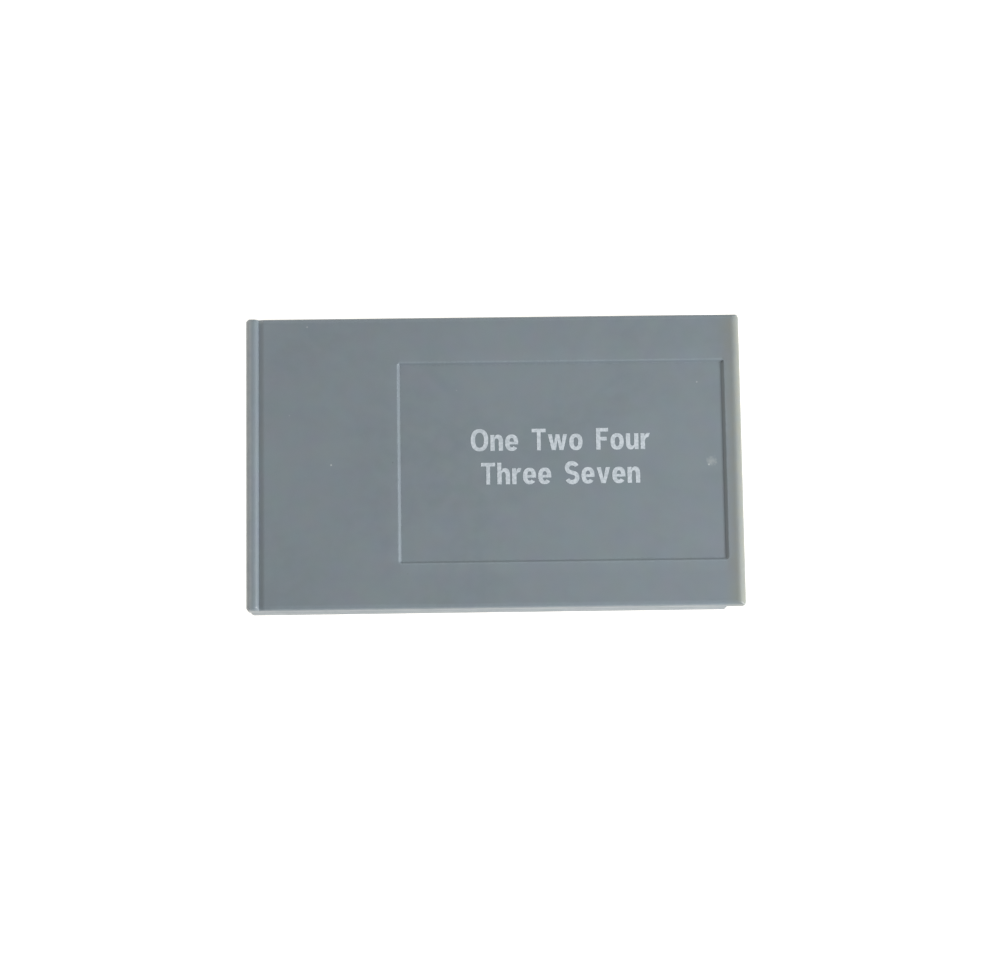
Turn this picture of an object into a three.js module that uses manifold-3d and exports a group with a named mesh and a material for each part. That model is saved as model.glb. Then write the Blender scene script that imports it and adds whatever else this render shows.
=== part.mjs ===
// Plug-in sound card of an electronic game caller: a slim two-part plastic case round a circuit board.
//
// Units are millimetres. +X points to the nose, the end that goes into the caller. +Z is the front, which
// has the label panel and the pull lip. The card lies on its back, and the origin is on that back face,
// under the middle of the card.

import * as THREE from "three";
import { mergeVertices } from "three/addons/utils/BufferGeometryUtils.js";
import Module from "manifold-3d";

// ---------------------------------------------------------------- driving dimensions

const LENGTH = 63.5; // grip end to nose end
const WIDTH = 37.7;
const FACE_Z = 6.0; // front face above the back face
const PARTING_Z = 3.6; // where the front shell ends and the back shell begins
const PARTING_GAP = 0.05;
const WALL = 1.2;
const CEILING_Z = 4.65; // inside of the front shell, just above the board

const LIP_WIDTH = 1.62;
const LIP_HEIGHT = 0.35; // above the front face
const LIP_ROUND = 0.3;
const NOSE_ROUND = 1.0; // lead-in on the front shell's nose
const SIDE_ROUND = 0.5;
const CORNER_ROUND = 0.4;
const BACK_ROUND = 0.4;
const BACK_CORNER_ROUND = 0.5;

const NOSE_SETBACK = 2.15; // the back shell stops this far short of the nose
const GRIP_SETBACK = 0.2; // and this far short of the grip end

const PANEL = { x0: -12.4, x1: 29.7, y: -0.1, halfY: 13.05, depth: 0.28, draft: 0.2 };

const BAY = { x0: 21.5, halfY: 12.4, wall: 1.0 }; // connector bay in the back shell

const TONGUE = { width: 0.5, height: 0.6, clearance: 0.1, x1: 27.0 };

const SCREW = { shankR: 0.95, headR: 1.75, headHeight: 0.85, length: 3.8, point: 0.7, sides: 20 };
const CROSS = { halfLength: 1.05, halfWidth: 0.27, draft: 0.1, depth: 0.6 }; // the drive recess
const SCREW_SEAT_Z = 1.2;
const COUNTERBORE_R = 1.95;
const SCREW_HOLE_R = 1.15;
const TOWER = { r: 2.6, z1: 2.2 };
const BOSS = { r: 1.9, z0: 2.3, pilotR: 1.0, pilotZ: 5.1 };
const SCREW_PLACES = [
  [-26.6, -14.6],
  [-26.6, 14.6],
  [25.0, -15.5],
  [25.0, 15.5],
];

const BOARD = { x0: -23.5, x1: 30.2, halfY: 17.3, thickness: 1.0, corner: 0.5, holeClearance: 0.2 };
const PEG = { r: 1.0, z0: 3.2, places: [[-20.5, -12.5], [-20.5, 12.5]] };
const POST = { r: 1.0, places: [[-20.5, -6], [-20.5, 6], [16.8, -14.5], [16.8, 14.5]] };
const SOLDER_GAP = 0.02;

const FINGERS = { count: 16, pitch: 1.5, width: 1.0, x0: 22.2, x1: 29.7, thickness: 0.06, round: 0.2 };

const CHIP = {
  x: 3.0,
  halfX: 3.8,
  halfY: 9.0,
  height: 1.9,
  standoff: 0.1,
  taper: 0.15,
  leadsPerSide: 14,
  leadPitch: 1.27,
  leadWidth: 0.42,
  leadThickness: 0.15,
  leadRoot: 0.3, // how far a lead reaches into the package
  leadKnee: 0.4, // where it bends up towards the board, from the package's side
  leadHeel: 0.65, // where it reaches the board
  footX: 5.2,
  dimple: { r: 0.5, inset: 1.25, depth: 0.1 },
};

const TANTALUM = { x: -8.0, y: 9.0, length: 3.2, width: 1.6, height: 1.6 };
const BYPASS = { x: 3.0, ys: [-11.8, 11.8], length: 1.6, width: 0.8, height: 0.8 };
const END_CAP = { share: 0.2, step: 0.03 }; // of a chip component's length, and its height over the body
const PULL_UP = { x: 13.0, ys: [-4.5, -1.5, 1.5, 4.5], length: 1.6, width: 0.8, height: 0.5 };

const ARC_SIDES = 5; // straight pieces in a quarter round
const OVERCUT = 1.0; // how far a cutting tool passes the face it cuts

// Worked out from the above
const GRIP_X = -LENGTH / 2;
const NOSE_X = LENGTH / 2;
const SIDE_Y = WIDTH / 2;
const LIP_Z = FACE_Z + LIP_HEIGHT;
const BACK_X0 = GRIP_X + GRIP_SETBACK;
const BACK_X1 = NOSE_X - NOSE_SETBACK;
const BACK_TOP_Z = PARTING_Z - PARTING_GAP;
const INNER_X0 = BACK_X0 + WALL;
const INNER_Y = SIDE_Y - WALL;
const BOARD_UNDER_Z = PARTING_Z;
const BOARD_TOP_Z = BOARD_UNDER_Z + BOARD.thickness;

// ---------------------------------------------------------------- solids

const wasm = await Module();
wasm.setup();

// A closed three.js geometry as a manifold-3d solid.
function solid(geometry) {
  const bare = geometry.index ? geometry.toNonIndexed() : geometry.clone();
  bare.deleteAttribute("normal");
  bare.deleteAttribute("uv");
  const merged = mergeVertices(bare, 1e-4);
  return new wasm.Manifold(
    new wasm.Mesh({
      numProp: 3,
      vertProperties: merged.attributes.position.array,
      triVerts: new Uint32Array(merged.index.array),
    }),
  );
}

// A manifold-3d solid back as a three.js geometry.
function geometryOf(made) {
  const mesh = made.getMesh();
  const geometry = new THREE.BufferGeometry();
  geometry.setAttribute("position", new THREE.BufferAttribute(mesh.vertProperties, 3));
  geometry.setIndex(new THREE.BufferAttribute(mesh.triVerts, 1));
  geometry.computeVertexNormals();
  return geometry;
}

function box(x0, x1, y0, y1, z0, z1) {
  const geometry = new THREE.BoxGeometry(x1 - x0, y1 - y0, z1 - z0);
  return solid(geometry.translate((x0 + x1) / 2, (y0 + y1) / 2, (z0 + z1) / 2));
}

function cylinder(x, y, r, z0, z1, sides = 24) {
  const geometry = new THREE.CylinderGeometry(r, r, z1 - z0, sides).rotateX(Math.PI / 2);
  return solid(geometry.translate(x, y, (z0 + z1) / 2));
}

// A rectangle whose corners are rounded by the four radii: low-low, high-low, high-high, low-high.
function roundedRectangle(u0, u1, v0, v1, radii) {
  const [ll, hl, hh, lh] = radii;
  const shape = new THREE.Shape();
  shape.moveTo(u0 + ll, v0);
  shape.lineTo(u1 - hl, v0);
  if (hl) shape.absarc(u1 - hl, v0 + hl, hl, -Math.PI / 2, 0);
  shape.lineTo(u1, v1 - hh);
  if (hh) shape.absarc(u1 - hh, v1 - hh, hh, 0, Math.PI / 2);
  shape.lineTo(u0 + lh, v1);
  if (lh) shape.absarc(u0 + lh, v1 - lh, lh, Math.PI / 2, Math.PI);
  shape.lineTo(u0, v0 + ll);
  if (ll) shape.absarc(u0 + ll, v0 + ll, ll, Math.PI, (3 * Math.PI) / 2);
  return shape;
}

function extruded(shape, depth) {
  return new THREE.ExtrudeGeometry(shape, { depth, bevelEnabled: false, curveSegments: ARC_SIDES });
}

// An (x, y) outline stood up along Z.
const alongZ = (shape, z0, z1) => solid(extruded(shape, z1 - z0).translate(0, 0, z0));

// An (x, z) outline drawn out along Y.
const alongY = (shape, y0, y1) =>
  solid(extruded(shape, y1 - y0).rotateX(Math.PI / 2).translate(0, y1, 0));

// A (y, z) outline drawn out along X.
function alongX(shape, x0, x1) {
  const turn = new THREE.Matrix4().makeBasis(
    new THREE.Vector3(0, 1, 0),
    new THREE.Vector3(0, 0, 1),
    new THREE.Vector3(1, 0, 0),
  );
  return solid(extruded(shape, x1 - x0).applyMatrix4(turn).translate(x0, 0, 0));
}

// A block with its own outline in each of the three directions.
function profiledBlock({ x0, x1, halfY, z0, z1, endRadii, sideRadii, cornerRadii }) {
  const side = alongY(roundedRectangle(x0, x1, z0, z1, endRadii), -halfY, halfY);
  const end = alongX(roundedRectangle(-halfY, halfY, z0, z1, sideRadii), x0, x1);
  const plan = alongZ(roundedRectangle(x0, x1, -halfY, halfY, cornerRadii), z0, z1);
  return side.intersect(end).intersect(plan);
}

// A rectangular frustum: halfA by halfB at z0, and wider by grow on each side at z1.
function taperedBox(x, y, halfA, halfB, z0, z1, grow) {
  const geometry = new THREE.BoxGeometry(2 * halfA, 2 * halfB, z1 - z0);
  const position = geometry.attributes.position;
  for (let i = 0; i < position.count; i++) {
    if (position.getZ(i) < 0) continue;
    position.setX(i, Math.sign(position.getX(i)) * (halfA + grow));
    position.setY(i, Math.sign(position.getY(i)) * (halfB + grow));
  }
  return solid(geometry.translate(x, y, (z0 + z1) / 2));
}

const joined = (pieces) => pieces.reduce((all, piece) => all.add(piece));
const cut = (from, tools) => tools.reduce((left, tool) => left.subtract(tool), from);

// ---------------------------------------------------------------- front shell

// The tongue stands round three sides of the case, and is open towards the nose.
function tongueRing(clearance, z0, z1) {
  const outX = INNER_X0 - TONGUE.width - clearance;
  const outY = INNER_Y + TONGUE.width + clearance;
  const outside = box(outX, TONGUE.x1 + clearance, -outY, outY, z0, z1);
  const inside = box(INNER_X0, TONGUE.x1 + OVERCUT, -INNER_Y, INNER_Y, z0 - OVERCUT, z1 + OVERCUT);
  return outside.subtract(inside);
}

function frontShell() {
  const plate = profiledBlock({
    x0: GRIP_X,
    x1: NOSE_X,
    halfY: SIDE_Y,
    z0: PARTING_Z,
    z1: FACE_Z,
    endRadii: [0, 0, NOSE_ROUND, 0],
    sideRadii: [0, 0, SIDE_ROUND, SIDE_ROUND],
    cornerRadii: Array(4).fill(CORNER_ROUND),
  });
  const lip = profiledBlock({
    x0: GRIP_X,
    x1: GRIP_X + LIP_WIDTH,
    halfY: SIDE_Y,
    z0: PARTING_Z,
    z1: LIP_Z,
    endRadii: [0, 0, LIP_ROUND, LIP_ROUND],
    sideRadii: [0, 0, LIP_ROUND, LIP_ROUND],
    cornerRadii: [CORNER_ROUND, 0, 0, CORNER_ROUND],
  });
  const panelFloor = FACE_Z - PANEL.depth;
  const panel = taperedBox(
    (PANEL.x0 + PANEL.x1) / 2,
    PANEL.y,
    (PANEL.x1 - PANEL.x0) / 2 - PANEL.draft / 2,
    PANEL.halfY - PANEL.draft / 2,
    panelFloor,
    FACE_Z + PANEL.depth,
    PANEL.draft * 2,
  );
  const hollow = box(
    INNER_X0,
    BOARD.x1 + 2 * BOARD.holeClearance,
    -INNER_Y,
    INNER_Y,
    PARTING_Z - OVERCUT,
    CEILING_Z,
  );
  const tongue = tongueRing(0, PARTING_Z - TONGUE.height, CEILING_Z);
  const rootZ = CEILING_Z + WALL / 2; // inside the plate, so that the bosses and pegs join it
  const bosses = SCREW_PLACES.map(([x, y]) => cylinder(x, y, BOSS.r, BOSS.z0, rootZ));
  const pegs = PEG.places.map(([x, y]) => cylinder(x, y, PEG.r, PEG.z0, rootZ));
  const pilots = SCREW_PLACES.map(([x, y]) =>
    cylinder(x, y, BOSS.pilotR, BOSS.z0 - OVERCUT, BOSS.pilotZ),
  );
  const tray = cut(plate.add(lip), [panel, hollow]);
  return cut(joined([tray, tongue, ...bosses, ...pegs]), pilots);
}

// ---------------------------------------------------------------- back shell

function backShell() {
  const block = profiledBlock({
    x0: BACK_X0,
    x1: BACK_X1,
    halfY: SIDE_Y,
    z0: 0,
    z1: BACK_TOP_Z,
    endRadii: [BACK_ROUND, BACK_ROUND, 0, 0],
    sideRadii: [BACK_ROUND, BACK_ROUND, 0, 0],
    cornerRadii: [BACK_CORNER_ROUND, CORNER_ROUND, CORNER_ROUND, BACK_CORNER_ROUND],
  });
  const hollowTop = BACK_TOP_Z + OVERCUT;
  const cheekY = BAY.halfY + BAY.wall;
  const hollow = box(INNER_X0, BAY.x0 - BAY.wall, -INNER_Y, INNER_Y, WALL, hollowTop);
  const cheeks = [-1, 1].map((side) => {
    const [y0, y1] = [side * cheekY, side * INNER_Y].sort((a, b) => a - b);
    return box(BAY.x0 - 2 * BAY.wall, BACK_X1 - WALL, y0, y1, WALL, hollowTop);
  });
  const rootZ = WALL / 2; // inside the floor, so that the towers and posts join it
  const towers = SCREW_PLACES.map(([x, y]) => cylinder(x, y, TOWER.r, rootZ, TOWER.z1));
  const posts = POST.places.map(([x, y]) => cylinder(x, y, POST.r, rootZ, BACK_TOP_Z, 16));
  const bay = box(BAY.x0, NOSE_X, -BAY.halfY, BAY.halfY, -OVERCUT, hollowTop);
  const groove = tongueRing(TONGUE.clearance, BACK_TOP_Z - TONGUE.height - TONGUE.clearance, hollowTop);
  const counterbores = SCREW_PLACES.map(([x, y]) =>
    cylinder(x, y, COUNTERBORE_R, -OVERCUT, SCREW_SEAT_Z),
  );
  const holes = SCREW_PLACES.map(([x, y]) => cylinder(x, y, SCREW_HOLE_R, -OVERCUT, TOWER.z1 + OVERCUT));
  const tub = cut(block, [hollow, ...cheeks]);
  return cut(joined([tub, ...towers, ...posts]), [bay, groove, ...counterbores, ...holes]);
}

// ---------------------------------------------------------------- circuit board and what is on it

function circuitBoard() {
  const corners = Array(4).fill(BOARD.corner);
  const outline = roundedRectangle(BOARD.x0, BOARD.x1, -BOARD.halfY, BOARD.halfY, corners);
  const plate = alongZ(outline, BOARD_UNDER_Z, BOARD_TOP_Z);
  const [z0, z1] = [BOARD_UNDER_Z - OVERCUT, BOARD_TOP_Z + OVERCUT];
  const pegHoles = PEG.places.map(([x, y]) => cylinder(x, y, PEG.r + BOARD.holeClearance / 2, z0, z1));
  const notches = SCREW_PLACES.filter(([x]) => x > BOARD.x0).map(([x, y]) => {
    const r = BOSS.r + BOARD.holeClearance;
    const [y0, y1] = y > 0 ? [y, SIDE_Y] : [-SIDE_Y, y];
    return cylinder(x, y, r, z0, z1).add(box(x - r, x + r, y0, y1, z0, z1));
  });
  return cut(plate, [...pegHoles, ...notches]);
}

function contactFinger(index) {
  const y = (index - (FINGERS.count - 1) / 2) * FINGERS.pitch;
  const half = FINGERS.width / 2;
  const corners = Array(4).fill(FINGERS.round);
  const outline = roundedRectangle(FINGERS.x0, FINGERS.x1, y - half, y + half, corners);
  return alongZ(outline, BOARD_UNDER_Z - FINGERS.thickness, BOARD_UNDER_Z);
}

// A gull-wing lead, seen along Y, from inside the package to its foot on the board.
function leadOutline(side) {
  const { halfX, footX, leadThickness: t, leadRoot, leadKnee, leadHeel } = CHIP;
  const exitZ = BOARD_UNDER_Z - CHIP.standoff - CHIP.height / 2;
  const footZ = BOARD_UNDER_Z - SOLDER_GAP;
  const inner = [
    [halfX - leadRoot, exitZ + t / 2],
    [halfX + leadKnee, exitZ + t / 2],
    [halfX + leadHeel, footZ],
    [footX, footZ],
  ];
  const outer = [
    [footX, footZ - t],
    [halfX + leadHeel + t, footZ - t],
    [halfX + leadKnee + t, exitZ - t / 2],
    [halfX - leadRoot, exitZ - t / 2],
  ];
  const points = [...inner, ...outer].map(([x, z]) => new THREE.Vector2(CHIP.x + side * x, z));
  return new THREE.Shape(side > 0 ? points.reverse() : points);
}

// The package hangs under the board: its body is widest at mid-height, where the leads come out.
function soundMemoryChip() {
  const boardSideZ = BOARD_UNDER_Z - CHIP.standoff;
  const markedSideZ = boardSideZ - CHIP.height;
  const middleZ = (boardSideZ + markedSideZ) / 2;
  const { x, halfX, halfY, taper, dimple } = CHIP;
  const lower = taperedBox(x, 0, halfX - taper, halfY - taper, markedSideZ, middleZ, taper);
  const upper = taperedBox(x, 0, halfX, halfY, middleZ, boardSideZ, -taper);
  const pinOne = cylinder(
    x - halfX + dimple.inset,
    halfY - dimple.inset,
    dimple.r,
    markedSideZ - OVERCUT,
    markedSideZ + dimple.depth,
    16,
  );
  const body = lower.add(upper).subtract(pinOne);
  const leads = [];
  for (const side of [-1, 1]) {
    for (let i = 0; i < CHIP.leadsPerSide; i++) {
      const y = (i - (CHIP.leadsPerSide - 1) / 2) * CHIP.leadPitch;
      leads.push(alongY(leadOutline(side), y - CHIP.leadWidth / 2, y + CHIP.leadWidth / 2));
    }
  }
  return joined([body, ...leads]);
}

// A two-ended chip component under the board: a body, and a slightly larger metal cap on each end.
function chipComponent({ x, y, length, width, height }) {
  const topZ = BOARD_UNDER_Z - SOLDER_GAP;
  const capLength = length * END_CAP.share;
  const { step } = END_CAP;
  const body = box(
    x - length / 2 + step,
    x + length / 2 - step,
    y - width / 2 + step,
    y + width / 2 - step,
    topZ - height + step,
    topZ - step,
  );
  const caps = [x - length / 2, x + length / 2 - capLength].map((x0) =>
    box(x0, x0 + capLength, y - width / 2, y + width / 2, topZ - height, topZ),
  );
  return joined([body, ...caps]);
}

// ---------------------------------------------------------------- case screw

// A pan-head cross-recess screw, with its bearing face on its own z = 0 and its point towards +Z.
function caseScrew() {
  const { shankR, headR, headHeight, length, point, sides } = SCREW;
  const profile = [
    [0, -headHeight],
    [headR * 0.72, -headHeight],
    [headR * 0.93, -headHeight * 0.72],
    [headR, -headHeight * 0.38],
    [headR, 0],
    [shankR, 0],
    [shankR, length - point],
    [shankR - point * 0.75, length],
    [0, length],
  ].map(([r, z]) => new THREE.Vector2(r, z));
  const turned = solid(new THREE.LatheGeometry(profile, sides).rotateX(Math.PI / 2));
  const mouthZ = -headHeight - OVERCUT;
  const floorZ = -headHeight + CROSS.depth;
  const slot = (halfA, halfB) => taperedBox(0, 0, halfA, halfB, mouthZ, floorZ, -CROSS.draft);
  const { halfLength: long, halfWidth: short } = CROSS;
  return cut(turned, [slot(long, short), slot(short, long)]);
}

// ---------------------------------------------------------------- the assembly

const FINISHES = {
  shell: { color: 0x7d8890, roughness: 0.62, metalness: 0 },
  board: { color: 0x1f5a35, roughness: 0.4, metalness: 0 },
  package: { color: 0x1b1b1d, roughness: 0.6, metalness: 0 },
  tantalum: { color: 0xc98a2b, roughness: 0.5, metalness: 0 },
  ceramic: { color: 0xb59a78, roughness: 0.5, metalness: 0 },
  resistor: { color: 0x202224, roughness: 0.4, metalness: 0 },
  gold: { color: 0xd6b25a, roughness: 0.3, metalness: 1 },
  steel: { color: 0xb9bcc0, roughness: 0.35, metalness: 1 },
};
const materials = Object.fromEntries(
  Object.entries(FINISHES).map(([name, finish]) => [name, new THREE.MeshStandardMaterial(finish)]),
);

const card = new THREE.Group();

function place(name, made, finish, position = [0, 0, 0]) {
  const mesh = new THREE.Mesh(geometryOf(made), materials[finish]);
  mesh.name = name;
  mesh.position.set(...position);
  card.add(mesh);
}

place("front_shell", frontShell(), "shell");
place("back_shell", backShell(), "shell");
place("circuit_board", circuitBoard(), "board");
place("sound_memory_chip", soundMemoryChip(), "package");
place("tantalum_capacitor", chipComponent(TANTALUM), "tantalum");
BYPASS.ys.forEach((y, i) =>
  place(`bypass_capacitor_${i + 1}`, chipComponent({ ...BYPASS, y }), "ceramic"),
);
PULL_UP.ys.forEach((y, i) =>
  place(`pull_up_resistor_${i + 1}`, chipComponent({ ...PULL_UP, y }), "resistor"),
);
for (let i = 0; i < FINGERS.count; i++) {
  place(`contact_finger_${String(i + 1).padStart(2, "0")}`, contactFinger(i), "gold");
}
SCREW_PLACES.forEach(([x, y], i) =>
  place(`case_screw_${i + 1}`, caseScrew(), "steel", [x, y, SCREW_SEAT_Z]),
);

export default card;
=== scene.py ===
"""The looks of a plug-in sound card for an electronic game caller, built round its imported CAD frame.

The card lies on its back on a pale floor. Both halves of its case are remade here as fine meshes with
drafted, rounded edges. The screws get finer heads, and the print in the label panel is made here only.
Lengths are in millimetres until a mesh is made.
"""

import math

import bpy
import numpy as np
from mathutils import Euler, Matrix, Vector


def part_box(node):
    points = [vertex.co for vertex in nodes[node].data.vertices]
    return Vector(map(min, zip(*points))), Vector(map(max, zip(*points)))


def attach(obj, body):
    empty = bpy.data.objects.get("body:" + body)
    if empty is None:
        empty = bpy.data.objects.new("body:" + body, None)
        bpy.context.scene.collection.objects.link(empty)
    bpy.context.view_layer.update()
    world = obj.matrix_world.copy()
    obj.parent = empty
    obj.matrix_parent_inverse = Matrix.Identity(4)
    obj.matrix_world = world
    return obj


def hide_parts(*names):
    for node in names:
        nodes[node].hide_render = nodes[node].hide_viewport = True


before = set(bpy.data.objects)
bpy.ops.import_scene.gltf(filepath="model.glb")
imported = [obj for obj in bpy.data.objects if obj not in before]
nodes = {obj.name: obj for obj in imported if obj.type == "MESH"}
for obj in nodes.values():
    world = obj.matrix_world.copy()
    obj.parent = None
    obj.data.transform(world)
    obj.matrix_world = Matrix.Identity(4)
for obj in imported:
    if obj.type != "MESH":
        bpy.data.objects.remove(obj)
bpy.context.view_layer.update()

MM = 0.001


def box_mm(node):
    """The lowest and highest corners of a CAD node, in millimetres."""
    low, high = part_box(node)
    return np.array(low) / MM, np.array(high) / MM


FRONT_LOW, FRONT_HIGH = box_mm("front_shell")
BACK_LOW, BACK_HIGH = box_mm("back_shell")

# ---------------------------------------------------------------- dimensions

GRIP_X, NOSE_X = FRONT_LOW[0], FRONT_HIGH[0]
SIDE_Y = FRONT_HIGH[1]
LIP_Z = FRONT_HIGH[2]
TONGUE_Z = FRONT_LOW[2]
LIP_HEIGHT = 0.35
FACE_Z = LIP_Z - LIP_HEIGHT
PARTING_Z = 3.6
CEILING_Z = 4.65
WALL = 1.2
RIM_ROUND = 0.14  # the small edge that makes the parting line

LIP = {"width": 1.62, "outer_round": 0.6, "inner_round": 0.85}
HOLLOW = {"width": 0.8, "depth": 0.18}  # at the lip's foot
# How far the lip's inner round would reach past its foot if the hollow did not cut it off.
LIP_CUT = LIP["inner_round"] - math.sqrt(
    LIP["inner_round"] ** 2 - (LIP["inner_round"] - LIP_HEIGHT - HOLLOW["depth"]) ** 2
)
NOSE_ROUND = 1.05
SIDE_ROUND = 0.5
CORNER_ROUND = 0.4
PANEL = {
    "x0": -12.4,
    "x1": 29.72,
    "y": -0.1,
    "half_y": 13.05,
    "depth": 0.28,
    "slope": 0.4,
    "corner": 0.4,
}
PANEL_FLOOR_Z = FACE_Z - PANEL["depth"]

BACK_TOP_Z = BACK_HIGH[2]
BACK_ROUND = 0.4
BACK_CORNER_ROUND = 0.5
BAY = {"x0": 21.5, "half_y": 12.4, "wall": 1.0, "round": 0.16}
INNER_X0 = BACK_LOW[0] + WALL
INNER_X1 = 30.6
INNER_Y = SIDE_Y - WALL
TONGUE = {"width": 0.5, "clearance": 0.1, "x1": 27.0}
# A screw boss hangs from the front shell's ceiling. Its blind bore is open at the foot.
BOSS = {"r": 1.9, "bore_r": 1.0, "foot_z": 2.3, "bore_top_z": 5.1, "top_z": 5.25}

SCREW_NAMES = [f"case_screw_{i}" for i in range(1, 5)]
SCREW_PLACES = [tuple(sum(box_mm(name))[:2] / 2) for name in SCREW_NAMES]
SCREW_SEAT_Z = 1.2
SCREW_HEAD_Z = box_mm(SCREW_NAMES[0])[0][2]
SCREW_TIP_Z = box_mm(SCREW_NAMES[0])[1][2]
SCREW_HEAD_R = 1.75
SCREW_SHANK_R = 0.95
COUNTERBORE = {"r": 1.95, "edge": 0.12}
SCREW_HOLE_R = 1.15
TOWER_R, TOWER_Z = 2.6, 2.2  # the back shell's raised ring round a screw

# A screw's head is a square grid that eases into a disc, with a cross recess.
HEAD = {"square_half": 0.9, "ease": 0.35, "dome": 0.55, "dome_power": 2.6}
HEAD_RINGS = [1.0, 1.15, 1.3, 1.45, 1.57, 1.66, 1.72, SCREW_HEAD_R]
CROSS = {"half_width": 0.3, "side_slope": 0.1, "half_length": 1.05, "end_slope": 0.25, "depth": 0.55}
THREAD = {"root_r": 0.72, "pitch": 0.45, "crest_from": 0.17, "crest_to": 0.21, "end": 0.38}
SHANK = {
    "neck_r": 0.8,
    "overlap": 0.05,
    "first_thread": 0.25,
    "end_r": 0.7,
    "tip_length": 0.7,
    "tip_r": 0.3,
}
TURNED_SIDES = 32

STEP = 0.006  # half the run of a wall that has no draft
COARSE = 1.6  # the widest step of a shell's grid
FRONT_EASE = 0.12  # from a rounded edge to the next grid line, on the front shell
BACK_EASE = 0.1  # the same on the back shell
PANEL_CORNER_EASE = 0.2  # how far the panel's fine grid goes past its rounded corners
FAR = 99.0  # farther than any screw
SHARP_DEGREES = 38
EDGE_STEP = 0.7  # the longest step of a grid that can count as a bend
FULL_BEND = 4.0  # the curvature, per millimetre, of a fully marked edge
FLOOR_SINK = 0.02  # how far the floor lies under the card

# ---------------------------------------------------------------- mesh helpers


def mesh_object(name, vertices_mm, faces):
    """A mesh object from millimetre vertices, shaded smooth between its sharp edges."""
    mesh = bpy.data.meshes.new(name)
    mesh.from_pydata((np.asarray(vertices_mm) * MM).tolist(), [], faces)
    mesh.validate()
    for polygon in mesh.polygons:
        polygon.use_smooth = True
    mesh.set_sharp_from_angle(angle=math.radians(SHARP_DEGREES))
    made = bpy.data.objects.new(name, mesh)
    bpy.context.scene.collection.objects.link(made)
    return made


def quarter(start, end, count):
    """Places from start, where a round edge is steep, to end, where it is flat."""
    turn = np.linspace(0, math.pi / 2, count + 1)
    return start + (end - start) * (1 - np.cos(turn))


def both(places):
    """The given places and their mirror images."""
    return np.concatenate([places, -np.asarray(places)])


def lines(low, high, *sets):
    """Sorted places from low to high that hold every given set, with no wide gap between them."""
    kept = np.unique(np.round(np.clip(np.concatenate([[low, high], *sets]), low, high), 5))
    kept = kept[np.concatenate([[True], np.diff(kept) > STEP])]
    filled = [
        np.linspace(start, end, max(1, math.ceil((end - start) / COARSE)), endpoint=False)
        for start, end in zip(kept, kept[1:])
    ]
    return np.concatenate([*filled, [high]])


def square_to_disc(a, b):
    """Turns nested squares round the origin into nested circles."""
    big, small = np.maximum(abs(a), abs(b)), np.minimum(abs(a), abs(b))
    ratio = np.divide(small, big, out=np.zeros_like(big), where=big > 0)
    long, short = big * np.cos(ratio * math.pi / 4), big * np.sin(ratio * math.pi / 4)
    flat = abs(a) >= abs(b)
    return np.sign(a) * np.where(flat, long, short), np.sign(b) * np.where(flat, short, long)


def round_corners(u, v, x0, x1, half_y, radius0, radius1):
    """Moves the grid points near the four corners of a rectangle onto rounded corners."""
    radius = np.where(u < (x0 + x1) / 2, radius0, radius1)
    centre_x = np.where(u < (x0 + x1) / 2, x0 + radius, x1 - radius)
    past_x = np.where(u < (x0 + x1) / 2, u < centre_x, u > centre_x)
    centre_y = np.sign(v) * (half_y - radius)
    corner = past_x & (abs(v) > half_y - radius)
    a, b = square_to_disc(u - centre_x, v - centre_y)
    return np.where(corner, centre_x + a, u), np.where(corner, centre_y + b, v)


def edge_drop(inside, radius):
    """How far a rounded edge falls at a distance inside the outline, as a circle's quarter."""
    t = np.clip(1 - inside / radius, 0, 1)
    return radius * (1 - np.sqrt(1 - t * t))


def blend_drops(*drops):
    """Several edge roundings as one, without a crease where they meet."""
    return sum(drop**4 for drop in drops) ** 0.25


def two_sided(u_places, v_places, plan, upper, lower, keep=None):
    """Vertices and faces of a closed plate on a grid, with a height function for each side."""
    u, v = np.meshgrid(u_places, v_places, indexing="ij")
    x, y = plan(u, v)
    n, m = u.shape
    vertices = np.concatenate(
        [np.stack([x, y, height(u, v)], -1).reshape(-1, 3) for height in (upper, lower)]
    )
    centre_u, centre_v = (u[:-1, :-1] + u[1:, 1:]) / 2, (v[:-1, :-1] + v[1:, 1:]) / 2
    kept = np.ones(centre_u.shape, bool) if keep is None else keep(centre_u, centre_v)
    index = np.arange(n * m).reshape(n, m)
    under = n * m
    faces = []
    for i, j in np.argwhere(kept):
        a, b, c, d = index[i, j], index[i + 1, j], index[i + 1, j + 1], index[i, j + 1]
        faces.append((a, b, c, d))
        faces.append((a + under, d + under, c + under, b + under))
        walls = (
            (a, b, i, j - 1),
            (b, c, i + 1, j),
            (c, d, i, j + 1),
            (d, a, i - 1, j),
        )
        for start, end, k, l in walls:
            open_side = not (0 <= k < n - 1 and 0 <= l < m - 1) or not kept[k, l]
            if open_side:
                faces.append((start, start + under, end + under, end))
    return vertices, [tuple(int(i) for i in face) for face in faces]


def turned(profile, x, y, sides):
    """Vertices and faces of a solid turned round Z, from (radius, height) points, axis to axis."""
    vertices, rings = [], []
    for radius, height in profile:
        if radius == 0:
            rings.append([len(vertices)] * sides)
            vertices.append((x, y, height))
            continue
        rings.append(list(range(len(vertices), len(vertices) + sides)))
        for k in range(sides):
            turn = 2 * math.pi * k / sides
            vertices.append((x + radius * math.cos(turn), y + radius * math.sin(turn), height))
    faces = []
    for low, high in zip(rings, rings[1:]):
        for k in range(sides):
            after = (k + 1) % sides
            corners = (low[k], low[after], high[after], high[k])
            face = tuple(dict.fromkeys(corners))
            if len(face) > 2:
                faces.append(face)
    return np.array(vertices), faces


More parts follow.
